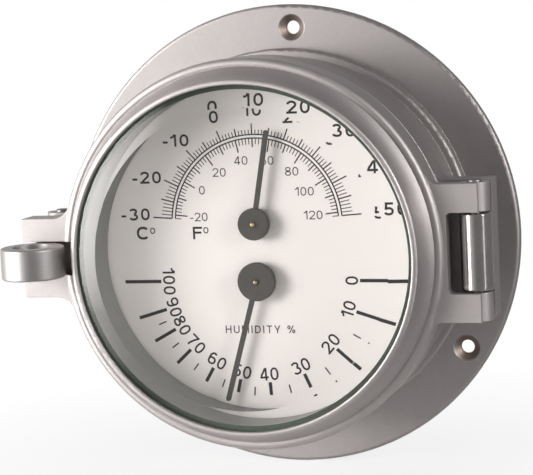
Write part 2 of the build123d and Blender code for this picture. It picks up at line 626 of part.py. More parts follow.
def movement(name, z, stud_x, coil_turns, coil_pitch, boss_r, blade_length, blade_angle):
    """Every piece of one movement about the spindle at height z, and its pointer."""
    with BuildPart() as bush:
        with BuildSketch(facing(DIAL_BACK - BUSH_FLANGE_T)) as flange:
            with Locations((0, z)):
                Circle(BUSH_FLANGE_R)
        extrude(flange.sketch, amount=BUSH_FLANGE_T)
        with BuildSketch(facing(DIAL_BACK - BUSH_FLANGE_T)) as tube:
            with Locations((0, z)):
                Circle(BUSH_R)
        extrude(tube.sketch, amount=BUSH_FLANGE_T + DIAL_T + BUSH_PROUD)
        with Locations(facing(DIAL_FRONT + BUSH_PROUD)):
            with Locations((0, z)):
                Hole(SPINDLE_R + PIVOT_CLEARANCE)
    save(bush, f"{name}_bush")

    # a bent strap: feet on the dial's studs, legs back, and a flat that carries the rear bearing
    leg_x = stud_x - BRIDGE_FOOT / 2
    half_strap = [
        (leg_x, DIAL_BACK),
        (stud_x + BRIDGE_FOOT / 2, DIAL_BACK),
        (stud_x + BRIDGE_FOOT / 2, DIAL_BACK - BRIDGE_T),
        (leg_x + BRIDGE_T, DIAL_BACK - BRIDGE_T),
        (leg_x + BRIDGE_T, BRIDGE_BACK),
        (0, BRIDGE_BACK),
        (0, BRIDGE_BACK + BRIDGE_T),
        (leg_x, BRIDGE_BACK + BRIDGE_T),
    ]
    with BuildPart() as bridge:
        with BuildSketch(Plane.XY.offset(z - BRIDGE_W / 2)) as strap:
            with BuildLine():
                Polyline([side_point(x, d) for x, d in half_strap], close=True)
            make_face()
            mirror(about=Plane.YZ)
        extrude(strap.sketch, amount=BRIDGE_W)
        with Locations(facing(DIAL_BACK)):
            with Locations((0, z)):
                Hole(BUSH_R + PIVOT_CLEARANCE)
            with Locations((-stud_x, z), (stud_x, z)):
                Hole(STUD_R + FIT_GAP)
    save(bridge, f"{name}_bridge")

    # slotted rear bearing with an arm whose post holds the coil's outer end
    coil_outer = coil_reach(coil_turns, coil_pitch)
    hub_back = BRIDGE_BACK - ADJUSTER_SLOT_DEPTH - FIT_GAP
    disc_back = BRIDGE_BACK + BRIDGE_T + PIVOT_CLEARANCE
    post_w = ADJUSTER_ARM_W / 2
    with BuildPart() as adjuster:
        with BuildSketch(facing(hub_back)) as hub:
            with Locations((0, z)):
                Circle(BUSH_R)
        extrude(hub.sketch, amount=disc_back - hub_back)
        with BuildSketch(facing(disc_back)) as arm:
            with Locations((0, z)):
                Circle(ADJUSTER_DISC_R)
            with Locations(((coil_outer + post_w) / 2, z)):
                Rectangle(coil_outer + post_w, ADJUSTER_ARM_W)
        extrude(arm.sketch, amount=ADJUSTER_T)
        with BuildSketch(facing(disc_back)) as post:
            with Locations((coil_outer + COIL_STRIP_T / 2 + FIT_GAP + post_w / 2, z)):
                Rectangle(post_w, ADJUSTER_ARM_W)
        extrude(post.sketch, amount=COIL_BACK + COIL_W - disc_back)
        with BuildSketch(facing(hub_back)) as slot:
            with Locations((0, z)):
                Rectangle(2 * BUSH_R, ADJUSTER_SLOT_W)
        extrude(slot.sketch, amount=ADJUSTER_SLOT_DEPTH, mode=Mode.SUBTRACT)
        with Locations(facing(disc_back + ADJUSTER_T)):
            with Locations((0, z)):
                Hole(SPINDLE_R + PIVOT_CLEARANCE)
    save(adjuster, f"{name}_adjuster")

    # a flat spiral of half circles, wound outwards from the collet
    with BuildPart() as coil:
        with BuildSketch(facing(COIL_BACK)) as strip:
            with BuildLine() as winding:
                for half_turn in range(2 * coil_turns):
                    side = half_turn % 2
                    radius = coil_reach(half_turn / 2, coil_pitch)
                    CenterArc((side * coil_pitch / 2, z), radius, 180 * side, 180)
            trace(winding.line, line_width=COIL_STRIP_T)
        extrude(strip.sketch, amount=COIL_W)
    save(coil, f"{name}_coil")

    with BuildPart() as collet:
        with BuildSketch(facing(COIL_BACK - COLLET_PROUD)) as ring:
            with Locations((0, z)):
                Circle(COLLET_R)
                Circle(SPINDLE_R + FIT_GAP, mode=Mode.SUBTRACT)
        extrude(ring.sketch, amount=COIL_W + 2 * COLLET_PROUD)
    save(collet, f"{name}_collet")

    with BuildPart() as spindle:
        with BuildSketch(facing(SPINDLE_BACK)) as rod:
            with Locations((0, z)):
                Circle(SPINDLE_R)
        extrude(rod.sketch, amount=SPINDLE_FRONT - SPINDLE_BACK)
        chamfer(spindle.edges().filter_by(GeomType.CIRCLE), SPINDLE_END_BREAK)
    save(spindle, f"{name}_spindle")

    tip = (
        blade_length * math.cos(math.radians(blade_angle)),
        blade_length * math.sin(math.radians(blade_angle)),
    )
    with BuildPart() as pointer:
        with BuildSketch(facing(POINTER_BACK)) as boss:
            with Locations((0, z)):
                Circle(boss_r)
        extrude(boss.sketch, amount=POINTER_BOSS_T)
        fillet(pointer.edges().filter_by(GeomType.CIRCLE).sort_by(Axis.Y)[0], BOSS_EDGE_R)
        with BuildSketch(facing(POINTER_BACK + POINTER_BOSS_T)) as collar:
            with Locations((0, z)):
                Circle(POINTER_COLLAR_R)
        extrude(collar.sketch, amount=POINTER_COLLAR_T)
        with BuildSketch(facing(POINTER_BACK + (POINTER_BOSS_T - POINTER_T) / 2)) as blade:
            SlotCenterPoint((tip[0] / 2, z + tip[1] / 2), (tip[0], z + tip[1]), POINTER_BLADE_W)
        extrude(blade.sketch, amount=POINTER_T)
        with Locations(facing(POINTER_BACK + POINTER_BOSS_T + POINTER_COLLAR_T)):
            with Locations((0, z)):
                Hole(SPINDLE_R + FIT_GAP)
    save(pointer, f"{name}_pointer")


movement(
    "thermometer",
    THERMOMETER_Z,
    THERMOMETER_STUD_X,
    THERMOMETER_COIL_TURNS,
    THERMOMETER_COIL_PITCH,
    THERMOMETER_BOSS_R,
    THERMOMETER_BLADE,
    THERMOMETER_ANGLE,
)
movement(
    "hygrometer",
    HYGROMETER_Z,
    HYGROMETER_STUD_X,
    HYGROMETER_COIL_TURNS,
    HYGROMETER_COIL_PITCH,
    HYGROMETER_BOSS_R,
    HYGROMETER_BLADE,
    HYGROMETER_ANGLE,
)
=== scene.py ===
import bmesh
import bpy
import math
from mathutils import Matrix, Vector


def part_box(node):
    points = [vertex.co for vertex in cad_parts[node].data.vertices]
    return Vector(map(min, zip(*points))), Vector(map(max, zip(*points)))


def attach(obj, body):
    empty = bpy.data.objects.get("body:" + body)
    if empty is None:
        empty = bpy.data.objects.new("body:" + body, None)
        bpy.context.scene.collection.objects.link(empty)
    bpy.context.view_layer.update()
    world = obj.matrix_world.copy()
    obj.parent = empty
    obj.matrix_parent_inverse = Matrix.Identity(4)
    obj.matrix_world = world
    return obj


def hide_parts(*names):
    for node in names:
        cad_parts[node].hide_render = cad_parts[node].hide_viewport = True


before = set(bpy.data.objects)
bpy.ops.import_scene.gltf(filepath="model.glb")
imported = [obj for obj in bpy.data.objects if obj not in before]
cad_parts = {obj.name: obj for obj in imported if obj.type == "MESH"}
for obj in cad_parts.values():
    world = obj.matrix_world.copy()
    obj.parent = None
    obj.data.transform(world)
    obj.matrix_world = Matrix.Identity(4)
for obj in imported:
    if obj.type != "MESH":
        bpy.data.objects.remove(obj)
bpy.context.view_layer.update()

MM = 0.001

# --- depths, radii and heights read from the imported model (millimetres) -------------------


def front_depth(node):
    """How far a node reaches in front of the flange's back face."""
    return -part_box(node)[0].y / MM


def back_depth(node):
    """How far a node's back lies in front of the flange's back face."""
    return -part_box(node)[1].y / MM


def centre_height(node):
    low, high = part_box(node)
    return (low.z + high.z) / 2 / MM


DIAL_FRONT = front_depth("dial_plate")
GLASS_BACK = back_depth("glass")
GLASS_FRONT = front_depth("glass")
GLASS_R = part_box("glass")[1].x / MM
GLASS_LAND_DEPTH = back_depth("glass_gasket")
THERMOMETER_Z = centre_height("thermometer_spindle")
HYGROMETER_Z = centre_height("hygrometer_spindle")

# --- mesh helpers -------------------------------------------------------------------------


def new_mesh(name, points, faces, smooth_angle=None):
    mesh = bpy.data.meshes.new(name)
    mesh.from_pydata(points, [], faces)
    mesh.validate()
    work = bmesh.new()
    work.from_mesh(mesh)
    bmesh.ops.recalc_face_normals(work, faces=work.faces)
    work.to_mesh(mesh)
    work.free()
    if smooth_angle is not None:
        mesh.polygons.foreach_set("use_smooth", [True] * len(mesh.polygons))
        mesh.set_sharp_from_angle(angle=math.radians(smooth_angle))
    obj = bpy.data.objects.new(name, mesh)
    bpy.context.scene.collection.objects.link(obj)
    return obj


LATHE_SIDES = 256


def lathe(name, profile, smooth_angle):
    """A profile of (radius, depth) points in millimetres turned about the dial's axis.

    Its first and last points lie on the axis, and the others do not.
    """
    points, faces, rings = [], [], []
    for radius, depth in profile:
        sides = LATHE_SIDES if radius > 0 else 1
        rings.append(range(len(points), len(points) + sides))
        for i in range(sides):
            a = 2 * math.pi * i / LATHE_SIDES
            points.append((radius * MM * math.cos(a), -depth * MM, radius * MM * math.sin(a)))
    for a, b in zip(rings, rings[1:]):
        for i in range(LATHE_SIDES):
            j = (i + 1) % LATHE_SIDES
            if len(a) == 1:
                faces.append((a[0], b[i], b[j]))
            elif len(b) == 1:
                faces.append((a[i], b[0], a[j]))
            else:
                faces.append((a[i], b[i], b[j], a[j]))
    return new_mesh(name, points, faces, smooth_angle)


# --- material helpers ---------------------------------------------------------------------

RELIEF = 0.05 * MM
METAL_EDGE = 0.25 * MM
MATT_EDGE = 0.12 * MM
EDGE_SAMPLES = 6
# cosines between the rounded and the flat normal at which a point is fully, or not at all,
# on an edge
EDGE_COSINES = (0.80, 0.995)


class Nodes:
    """A node tree, built one node at a time."""

    def __init__(self, tree):
        self.tree = tree

    def node(self, kind, **settings):
        made = self.tree.nodes.new(kind)
        for key, value in settings.items():
            setattr(made, key, value)
        return made

    def wire(self, source, target):
        self.tree.links.new(source, target)

    def feed(self, value, socket):
        """Give a socket a constant or the output of another node."""
        if isinstance(value, bpy.types.NodeSocket):
            self.wire(value, socket)
        else:
            socket.default_value = value

    def spread(self, value, low, high, start, end, shape="LINEAR"):
        """Map a value from start..end to low..high."""
        made = self.node("ShaderNodeMapRange", interpolation_type=shape)
        made.inputs["From Min"].default_value = start
        made.inputs["From Max"].default_value = end
        made.inputs["To Min"].default_value = low
        made.inputs["To Max"].default_value = high
        self.wire(value, made.inputs["Value"])
        return made.outputs["Result"]

    def maths(self, operation, a, b=0.0):
        made = self.node("ShaderNodeMath", operation=operation)
        self.feed(a, made.inputs[0])
        self.feed(b, made.inputs[1])
        return made.outputs[0]

    def blend(self, factor, a, b):
        """Shader a where the factor is 0 and shader b where it is 1."""
        made = self.node("ShaderNodeMixShader")
        self.feed(factor, made.inputs[0])
        self.wire(a, made.inputs[1])
        self.wire(b, made.inputs[2])
        return made.outputs[0]


class Look(Nodes):
    """A procedural material."""

    def __init__(self, name):
        self.material = bpy.data.materials.new(name)
        self.material.use_nodes = True
        super().__init__(self.material.node_tree)
        self.shader = self.tree.nodes["Principled BSDF"]
        self.output = self.tree.nodes["Material Output"]
        self.coords = self.node("ShaderNodeTexCoord")

    def set(self, socket, value):
        self.shader.inputs[socket].default_value = value

    def noise(self, scale, detail):
        """Noise over the piece, with its scale per metre."""
        tex = self.node("ShaderNodeTexNoise")
        tex.inputs["Scale"].default_value = scale
        tex.inputs["Detail"].default_value = detail
        self.wire(self.coords.outputs["Object"], tex.inputs["Vector"])
        return tex.outputs["Fac"]

    def mix(self, factor, a, b):
        """Colour a where the factor is 0 and colour b where it is 1."""
        made = self.node("ShaderNodeMix", data_type="RGBA")
        for value, k in ((factor, 0), (a, 6), (b, 7)):
            self.feed(value, made.inputs[k])
        return made.outputs[2]

    def bump(self, height, strength, normal):
        """Fine relief on top of a normal."""
        made = self.node("ShaderNodeBump")
        made.inputs["Strength"].default_value = strength
        made.inputs["Distance"].default_value = RELIEF
        self.wire(height, made.inputs["Height"])
        self.wire(normal, made.inputs["Normal"])
        self.wire(made.outputs["Normal"], self.shader.inputs["Normal"])

    def soft_edges(self, radius):
        """Normal that rounds sharp edges, and a mask that is 1 on them."""
        bevel = self.node("ShaderNodeBevel", samples=EDGE_SAMPLES)
        bevel.inputs["Radius"].default_value = radius
        geometry = self.node("ShaderNodeNewGeometry")
        dot = self.node("ShaderNodeVectorMath", operation="DOT_PRODUCT")
        self.wire(bevel.outputs["Normal"], dot.inputs[0])
        self.wire(geometry.outputs["Normal"], dot.inputs[1])
        edge = self.spread(dot.outputs["Value"], 1.0, 0.0, *EDGE_COSINES)
        return bevel.outputs["Normal"], edge


# the middle part of a noise, spread over the whole range between two tones
NOISE_CORE = (0.3, 0.7)

# metal: scale and share of the two noises in its tone, and the painted highlight that lightens its
# edges
CLOUD_SCALE, CLOUD_SHARE = 45.0, 0.6
FINE_SCALE, FINE_SHARE = 900.0, 0.4
SHEEN_SCALE = 260.0
SHEEN_SWING = 0.035
PAINTED_EDGE_HIGHLIGHT = 1.18
PAINTED_EDGE_HIGHLIGHT_AMOUNT = 0.6


def metal(name, color, dark, roughness, grain=(9000.0, 0.05), wear=0.10):
    """Plated metal: fine grain (scale, strength), uneven sheen, edges worn smoother and painted
    lighter as a highlight.
    """
    look = Look(name)
    look.set("Metallic", 1.0)
    normal, on_edge = look.soft_edges(METAL_EDGE)
    cloud = look.maths("MULTIPLY", look.noise(CLOUD_SCALE, 3.0), CLOUD_SHARE)
    fine = look.maths("MULTIPLY", look.noise(FINE_SCALE, 2.0), FINE_SHARE)
    tone = look.maths("ADD", cloud, fine)
    base = look.mix(look.spread(tone, 0.0, 1.0, *NOISE_CORE), dark, color)
    # painted highlight: the edges get a lighter base colour
    painted_highlight = tuple(min(1.0, c * PAINTED_EDGE_HIGHLIGHT) for c in color[:3]) + (1.0,)
    base = look.mix(look.maths("MULTIPLY", on_edge, PAINTED_EDGE_HIGHLIGHT_AMOUNT), base, painted_highlight)
    look.wire(base, look.shader.inputs["Base Color"])
    sheen = look.noise(SHEEN_SCALE, 3.0)
    rough = look.spread(sheen, roughness - SHEEN_SWING, roughness + SHEEN_SWING, *NOISE_CORE)
    rough = look.maths("SUBTRACT", rough, look.maths("MULTIPLY", on_edge, wear))
    look.wire(rough, look.shader.inputs["Roughness"])
    scale, strength = grain
    look.bump(look.noise(scale, 1.0), strength, normal)
    return look


# paint and rubber: swing of the roughness, and strength of the grain's relief
MATT_SWING = 0.05
MATT_RELIEF = 0.15
MATT_RELIEF_FINENESS = 4


def matt(name, color, other, roughness, grain, specular=0.35):
    """Paint, rubber or coated strip: two close tones, grain and a dull surface."""
    look = Look(name)
    look.set("Metallic", 0.0)
    look.set("Specular IOR Level", specular)
    tone = look.noise(grain, 3.0)
    base = look.mix(look.spread(tone, 0.0, 1.0, *NOISE_CORE), color, other)
    look.wire(base, look.shader.inputs["Base Color"])
    rough = look.spread(tone, roughness - MATT_SWING, roughness + MATT_SWING, *NOISE_CORE)
    look.wire(rough, look.shader.inputs["Roughness"])
    normal, _ = look.soft_edges(MATT_EDGE)
    look.bump(look.noise(grain * MATT_RELIEF_FINENESS, 2.0), MATT_RELIEF, normal)
    return look


def radial_mask(look, inner, outer, centre):
    """1 inside inner, 0 outside outer, measured in the X-Z plane from a centre in metres."""
    split = look.node("ShaderNodeSeparateXYZ")
    look.wire(look.coords.outputs["Object"], split.inputs[0])
    dx = look.maths("SUBTRACT", split.outputs[0], centre[0])
    dz = look.maths("SUBTRACT", split.outputs[2], centre[1])
    r2 = look.maths("ADD", look.maths("MULTIPLY", dx, dx), look.maths("MULTIPLY", dz, dz))
    return look.spread(look.maths("SQRT", r2), 1.0, 0.0, inner, outer)


# --- materials ----------------------------------------------------------------------------

PEARL = (0.50, 0.472, 0.468, 1)
PEARL_DARK = (0.455, 0.43, 0.427, 1)
# painted shade: the case has the bezel's pearl chrome made 15% darker
SHADED_CASE_PEARL = (0.425, 0.40, 0.396, 1)
SHADED_CASE_DARK = (0.387, 0.366, 0.362, 1)

shaded_case_look = metal("pearl_chrome_case_shaded", SHADED_CASE_PEARL, SHADED_CASE_DARK, 0.54, wear=0.04)
bezel_look = metal("pearl_chrome_bezel", PEARL, PEARL_DARK, 0.54, wear=0.04)
lever_look = metal(
    "satin_lever", (0.44, 0.424, 0.419, 1), (0.39, 0.378, 0.373, 1), 0.48, (7000.0, 0.04), wear=0.03
)
polished_look = metal(
    "polished_barrel", (0.58, 0.56, 0.545, 1), (0.52, 0.50, 0.49, 1), 0.20, (12000.0, 0.02)
)
reflector_look = metal(
    "reflector_wall", (0.33, 0.335, 0.33, 1), (0.29, 0.295, 0.29, 1), 0.58, (12000.0, 0.015)
)
pin_look = metal("satin_pins", (0.34, 0.33, 0.32, 1), (0.28, 0.275, 0.265, 1), 0.40, wear=0.03)
screw_look = metal("turned_screws", (0.60, 0.58, 0.55, 1), (0.52, 0.50, 0.47, 1), 0.28)
brass_look = metal("machined_brass", (0.72, 0.53, 0.26, 1), (0.60, 0.42, 0.19, 1), 0.28)
coil_look = metal("rolled_strip", (0.55, 0.52, 0.47, 1), (0.46, 0.43, 0.38, 1), 0.33)

# the mounting holes show dull brass where the plating never reached (millimetres)
HOLE_COUNT = 3
HOLE_FIRST_ANGLE = 87
HOLE_CIRCLE_R = 67.6
HOLE_MASK_INNER = 3.7
HOLE_MASK_OUTER = 4.35
BARE_BRASS = (0.25, 0.19, 0.15, 1)
BARE_AMOUNT = 0.8


def bare_brass_in_holes(look):
    mask = None
    for k in range(HOLE_COUNT):
        a = math.radians(HOLE_FIRST_ANGLE + 360 / HOLE_COUNT * k)
        centre = (HOLE_CIRCLE_R * MM * math.cos(a), HOLE_CIRCLE_R * MM * math.sin(a))
        one = radial_mask(look, HOLE_MASK_INNER * MM, HOLE_MASK_OUTER * MM, centre)
        mask = one if mask is None else look.maths("MAXIMUM", mask, one)
    base = look.shader.inputs["Base Color"].links[0].from_socket
    amount = look.maths("MULTIPLY", mask, BARE_AMOUNT)
    look.wire(look.mix(amount, base, BARE_BRASS), look.shader.inputs["Base Color"])


bare_brass_in_holes(shaded_case_look)

dial_look = matt("silvered_dial", (0.89, 0.86, 0.845, 1), (0.87, 0.845, 0.83, 1), 0.5, 1500.0, 0.3)
pointer_look = matt(
    "pointer_paint", (0.072, 0.069, 0.065, 1), (0.058, 0.056, 0.053, 1), 0.55, 2500.0, 0.2
)
rubber_look = matt("seal_rubber", (0.022, 0.022, 0.021, 1), (0.03, 0.03, 0.028, 1), 0.7, 1800.0)
gasket_look = matt("gasket", (0.02, 0.026, 0.022, 1), (0.028, 0.034, 0.03, 1), 0.6, 1800.0)
backing_look = matt("backing_ring", (0.08, 0.105, 0.082, 1), (0.065, 0.09, 0.07, 1), 0.55, 1200.0)
fibre_look = matt("humidity_strip", (0.60, 0.52, 0.40, 1), (0.52, 0.45, 0.34, 1), 0.55, 1200.0)
ink_look = matt("dial_ink", (0.020, 0.021, 0.023, 1), (0.03, 0.031, 0.033, 1), 0.7, 3000.0, 0.15)

GLASS_IOR = 1.62
GLASS_COLOR = (0.998, 0.994, 0.988, 1)
GLASS_SHADE = (0.95, 0.945, 0.94, 1)
# faint smears: scale of their noise, the part of it that shows, and their roughness
SMEAR_SCALE = 60.0
SMEAR_CORE = (0.45, 0.75)
SMEAR_ROUGHNESS = 0.012
# part of the mirror image that a coating on the glass takes away
GLASS_COATING = 0.5


def glass_material():
    """Coated glass that lets shadow and diffuse rays straight through."""
    look = Look("bevelled_glass")
    smear = look.spread(look.noise(SMEAR_SCALE, 3.0), 0.0, SMEAR_ROUGHNESS, *SMEAR_CORE)
    mirroring = look.node("ShaderNodeBsdfGlass")
    coated = look.node("ShaderNodeBsdfRefraction")
    for shader in (mirroring, coated):
        shader.inputs["IOR"].default_value = GLASS_IOR
        shader.inputs["Color"].default_value = GLASS_COLOR
        look.wire(smear, shader.inputs["Roughness"])
    clear = look.node("ShaderNodeBsdfTransparent")
    clear.inputs["Color"].default_value = GLASS_SHADE
    path = look.node("ShaderNodeLightPath")
    straight = look.maths("MAXIMUM", path.outputs["Is Shadow Ray"], path.outputs["Is Diffuse Ray"])
    seen = look.blend(GLASS_COATING, mirroring.outputs[0], coated.outputs[0])
    pane = look.blend(straight, seen, clear.outputs[0])
    look.wire(pane, look.output.inputs["Surface"])
    look.tree.nodes.remove(look.shader)
    return look


glass_look = glass_material()
glass_edge_look = matt(
    "glass_edge", (0.03, 0.05, 0.038, 1), (0.02, 0.035, 0.027, 1), 0.35, 900.0, 0.5
)

CAD_LOOKS = {
    "case_body": shaded_case_look,
    "back_cover": shaded_case_look,
    "back_cover_screws": screw_look,
    "hinge_barrel": polished_look,
    "hinge_pin": pin_look,
    "bezel_seal": rubber_look,
    "latch_pin": pin_look,
    "latch_washers": brass_look,
    "dial_plate": dial_look,
    "dial_screws": screw_look,
    "dial_studs": brass_look,
    "bridge_nuts": brass_look,
    "thermometer_bush": brass_look,
    "thermometer_bridge": brass_look,
    "hygrometer_bush": brass_look,
    "hygrometer_bridge": brass_look,
    "bezel_ring": bezel_look,
    "glass_gasket": gasket_look,
    "glass_backing_ring": backing_look,
    "reflector_ring": reflector_look,
    "latch_lever": lever_look,
    "thermometer_adjuster": brass_look,
    "thermometer_coil": coil_look,
    "thermometer_collet": brass_look,
    "thermometer_spindle": brass_look,
    "thermometer_pointer": pointer_look,
    "hygrometer_adjuster": brass_look,
    "hygrometer_coil": fibre_look,
    "hygrometer_collet": brass_look,
    "hygrometer_spindle": brass_look,
    "hygrometer_pointer": pointer_look,
}
for node, look in CAD_LOOKS.items():
    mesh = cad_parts[node].data
    mesh.materials.clear()
    mesh.materials.append(look.material)

# --- glass --------------------------------------------------------------------------------

GLASS_CHAMFER = 0.25
GLASS_LAND_W = 0.4
BEVEL_OUTER_R = GLASS_R - GLASS_LAND_W
BEVEL_INNER_R = 45.9
# half the width of the small facet that softens the bevel's inner edge, and its depth
BEVEL_SOFT_R = 0.12
BEVEL_SOFT_DEPTH = 0.045
GLASS_SMOOTH_ANGLE = 5
CLEAR_SLOT, EDGE_SLOT = 0, 1

glass = lathe(
    "glass_crystal",
    [
        (0.0, GLASS_BACK),
        (GLASS_R - GLASS_CHAMFER, GLASS_BACK),
        (GLASS_R, GLASS_BACK + GLASS_CHAMFER),
        (GLASS_R, GLASS_LAND_DEPTH),
        (BEVEL_OUTER_R, GLASS_LAND_DEPTH),
        (BEVEL_INNER_R + BEVEL_SOFT_R, GLASS_FRONT - BEVEL_SOFT_DEPTH),
        (BEVEL_INNER_R - BEVEL_SOFT_R, GLASS_FRONT),
        (0.0, GLASS_FRONT),
    ],
    GLASS_SMOOTH_ANGLE,
)
glass.data.materials.append(glass_look.material)
glass.data.materials.append(glass_edge_look.material)
for face in glass.data.polygons:
    on_edge = math.hypot(face.center.x, face.center.z) / MM > BEVEL_OUTER_R
    face.material_index = EDGE_SLOT if on_edge else CLEAR_SLOT
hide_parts("glass")
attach(glass, "bezel")

# --- printing on the dial -----------------------------------------------------------------

# the print starts just off the dial, and strokes that cross end at different heights
INK_GAP = 0.001
INK_LIFT = 0.03
INK_LEVELS = 5
INK_LEVEL_STEP = 0.002
ARC_STEPS = 120
# gap between two characters, in heights
PLAIN_GAP = 0.14


class Ink:
    """Thin raised print on the dial, in millimetres on the dial's face."""

    def __init__(self):
        self.points, self.faces, self.count = [], [], 0

    def strip(self, left, right, closed=False):
        """A ribbon between two rows of (x, z) points, as a thin closed solid."""
        self.count += 1
        top = DIAL_FRONT + INK_LIFT + INK_LEVEL_STEP * (self.count % INK_LEVELS)
        base = len(self.points)
        n = len(left)
        for depth in (DIAL_FRONT + INK_GAP, top):
            for row in (left, right):
                self.points += [(x * MM, -depth * MM, z * MM) for x, z in row]
        low_l, low_r, up_l, up_r = (base + k * n for k in range(4))
        last = n if closed else n - 1
        for i in range(last):
            j = (i + 1) % n
            self.faces.append((up_l + i, up_l + j, up_r + j, up_r + i))
            self.faces.append((low_l + i, low_r + i, low_r + j, low_l + j))
            self.faces.append((low_l + i, low_l + j, up_l + j, up_l + i))
            self.faces.append((low_r + i, up_r + i, up_r + j, low_r + j))
        if not closed:
            for i in (0, n - 1):
                self.faces.append((low_l + i, up_l + i, up_r + i, low_r + i))

    def stroke(self, path, width, closed=False):
        """A line of even width along (x, z) points."""
        left, right = [], []
        n = len(path)
        for i, (x, z) in enumerate(path):
            if closed:
                a, b = path[i - 1], path[(i + 1) % n]
            else:
                a, b = path[max(i - 1, 0)], path[min(i + 1, n - 1)]
            dx, dz = b[0] - a[0], b[1] - a[1]
            size = math.hypot(dx, dz)
            nx, nz = -dz / size * width / 2, dx / size * width / 2
            left.append((x + nx, z + nz))
            right.append((x - nx, z - nz))
        self.strip(left, right, closed)

    def tick(self, centre_z, angle, r1, r2, width):
        """A straight line along a radius, from r1 to r2 about a centre at x = 0."""
        a = math.radians(angle)
        c, s = math.cos(a), math.sin(a)
        self.stroke([(r1 * c, centre_z + r1 * s), (r2 * c, centre_z + r2 * s)], width)

    def arc(self, centre_z, radius, a1, a2, width):
        path = []
        for i in range(ARC_STEPS + 1):
            a = math.radians(a1 + (a2 - a1) * i / ARC_STEPS)
            path.append((radius * math.cos(a), centre_z + radius * math.sin(a)))
        self.stroke(path, width)

    def text(self, body, x, z, height, weight, stretch, turn=0.0, gap=PLAIN_GAP):
        """Characters centred on (x, z), with strokes of weight times the height."""
        total = sum(glyph_width(c) for c in body) + gap * (len(body) - 1)
        pen = -total / 2
        c, s = math.cos(math.radians(turn)), math.sin(math.radians(turn))
        for char in body:
            for path, closed in glyph(char, weight):
                placed = []
                for px, pz in path:
                    u, v = (pen + px) * height * stretch, (pz - 0.5) * height
                    placed.append((x + u * c - v * s, z + u * s + v * c))
                self.stroke(placed, weight * height, closed)
            pen += glyph_width(char) + gap

    def build(self, name):
        obj = new_mesh(name, self.points, self.faces)
        obj.data.materials.append(ink_look.material)
        return obj


# widths of the characters for a height of 1
FIGURE_W = 0.62
GLYPH_WIDTHS = {
    " ": 0.25, "-": 0.36, "%": 0.92, "1": 0.42, "o": 0.44,
    "C": 0.76, "D": 0.66, "H": 0.66, "I": 0.14, "M": 0.80, "U": 0.66, "Y": 0.64,
}
BOW_POWER = 0.88


def glyph_width(char):
    return GLYPH_WIDTHS.get(char, FIGURE_W)


def bow(cx, cz, rx, rz, a1, a2, steps=20):
    """Part of a slightly squared ellipse, as a list of points."""
    points = []
    for i in range(steps + 1):
        a = math.radians(a1 + (a2 - a1) * i / steps)
        c, s = math.cos(a), math.sin(a)
        u = math.copysign(abs(c) ** BOW_POWER, c)
        v = math.copysign(abs(s) ** BOW_POWER, s)
        points.append((cx + rx * u, cz + rz * v))
    return points


def line(*points):
    return list(points), False


def upright(x):
    return line((x, 0), (x, 1))


def bar(z, x1, x2):
    return line((x1, z), (x2, z))


def loop(cx, cz, rx, rz):
    return bow(cx, cz, rx, rz, 0, 345, 23), True


def glyph(char, weight):
    """Centre lines of one character, one unit high, as (points, closed) pairs."""
    w = glyph_width(char)
    h = weight / 2
    mid = w / 2
    side = mid - h
    if char == "0":
        return [loop(mid, 0.5, side, 0.5 - h)]
    if char == "1":
        flag = line((0, 0.745), (0.12, 0.765), (0.21, 0.83), (0.27, 1.0))
        return [upright(w - h - 0.02), flag]
    if char == "2":
        top = bow(mid, 0.70, side, 0.30 - h, 175, -35)
        return [line(*top, (h + 0.06, weight * 0.9)), bar(h, 0, w)]
    if char == "3":
        upper = bow(mid - 0.01, 0.745, side - 0.03, 0.255 - h, 165, -75)
        lower = bow(mid, 0.285, side, 0.285 - h, 85, -165)
        return [line(*upper), line(*lower)]
    if char == "4":
        stem = w * 0.70
        slope = line((stem - h * 0.6, 1 - h * 0.6), (h * 0.8, 0.25 + h))
        return [upright(stem), slope, bar(0.25, 0, w)]
    if char == "5":
        bowl = bow(mid, 0.32, side, 0.32 - h, 140, -160)
        stem = line((0.10 + h, 1), (0.055 + h, 0.44))
        return [line(*bowl), stem, bar(1 - h, 0.10, w - 0.05)]
    if char in "69":
        sweep = bow(mid, 0.5, side, 0.5 - h, 50, 200, 16)
        paths = [loop(mid, 0.315, side, 0.315 - h), line(*sweep)]
        if char == "9":
            # a 6 turned upside down
            paths = [([(w - x, 1 - z) for x, z in path], closed) for path, closed in paths]
        return paths
    if char == "7":
        leg = line((w - h, 1 - h), (w * 0.60, 0.56), (w * 0.43, 0.25), (w * 0.38, 0))
        return [bar(1 - h, 0, w), leg]
    if char == "8":
        return [
            loop(mid, 0.755, side - 0.03, 0.245 - h),
            loop(mid, 0.27, side, 0.27 - h),
        ]
    if char == "-":
        return [bar(0.36, 0.02, w - 0.02)]
    if char == "o":
        return [loop(mid, 0.74, side, 0.26 - h)]
    if char == "%":
        return [
            loop(0.20, 0.76, 0.18 - h, 0.24 - h),
            loop(w - 0.20, 0.24, 0.18 - h, 0.24 - h),
            line((0.24, 0), (w - 0.24, 1)),
        ]
    if char == "C":
        return [line(*bow(mid, 0.5, side, 0.5 - h, 42, 318))]
    if char == "D":
        belly = bow(mid - 0.06, 0.5, side + 0.06, 0.5 - h, -80, 80, 16)
        return [upright(h), line((h, h), (mid - 0.06, h), *belly, (h, 1 - h))]
    if char == "F":
        return [upright(h), bar(1 - h, h, w), bar(0.53, h, w - 0.06)]
    if char == "H":
        return [upright(h), upright(w - h), bar(0.53, h, w - h)]
    if char == "I":
        return [upright(mid)]
    if char == "M":
        valley = (mid, 0.05)
        return [upright(h), upright(w - h), line((h, 1), valley), line((w - h, 1), valley)]
    if char == "T":
        return [upright(mid), bar(1 - h, 0, w)]
    if char == "U":
        base = bow(mid, 0.34, side, 0.34 - h, 180, 360, 14)
        return [line((h, 1), (h, 0.36), *base, (w - h, 1))]
    if char == "Y":
        fork = (mid, 0.40)
        return [line((mid, 0), (mid, 0.42)), line((0.03, 1), fork), line((w - 0.03, 1), fork)]
    return []


